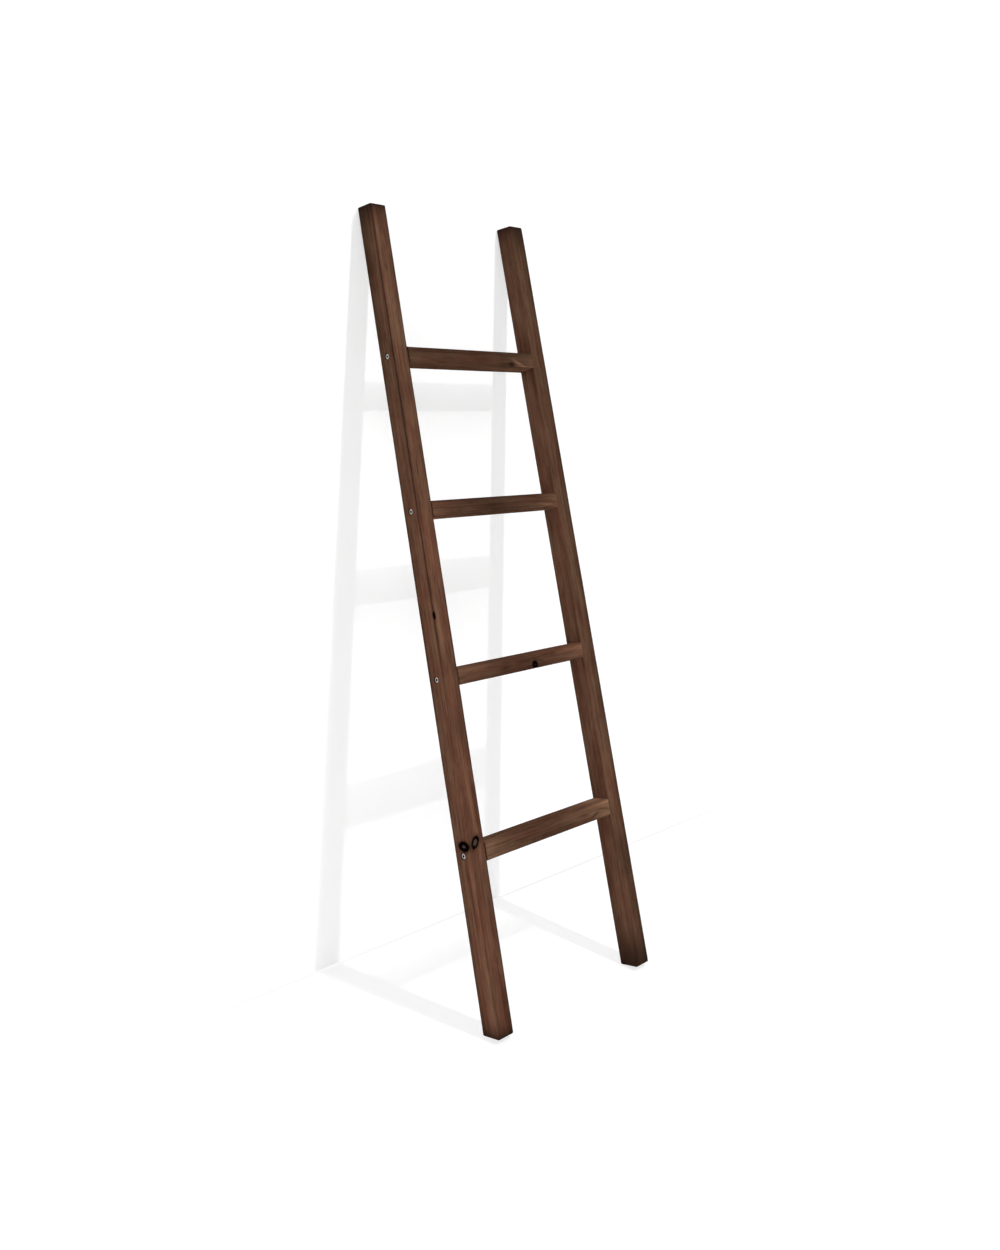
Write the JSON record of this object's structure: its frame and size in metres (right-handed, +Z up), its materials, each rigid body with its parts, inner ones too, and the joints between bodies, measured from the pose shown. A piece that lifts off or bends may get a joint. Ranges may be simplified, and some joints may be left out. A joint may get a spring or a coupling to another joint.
{
  "type": "decorative ladder",
  "caption": "Leaning decorative ladder in dark stained wood: two square rails with flush rungs butted between them and screwed through the rails, for hanging textiles.",
  "frame": {"origin": "on the floor, under the middle of the ladder's bounding box, with the ladder leaning as it is used", "axes": "+Z up from the floor, +X along the rungs to the right rail, +Y back towards the wall that the rail tops lean on"},
  "size_m": [0.4, 0.3984, 1.466],
  "materials": {
    "stained_wood": "dark walnut stain, satin",
    "raw_wood": "plain beech",
    "steel": "zinc plated, satin"
  },
  "bodies": {
    "root": {"left_rail": "stained_wood", "right_rail": "stained_wood", "rung_1": "stained_wood", "rung_2": "stained_wood", "rung_3": "stained_wood", "rung_4": "stained_wood", "screws": "steel", "dowels": "raw_wood"}
  },
  "joints": []
}
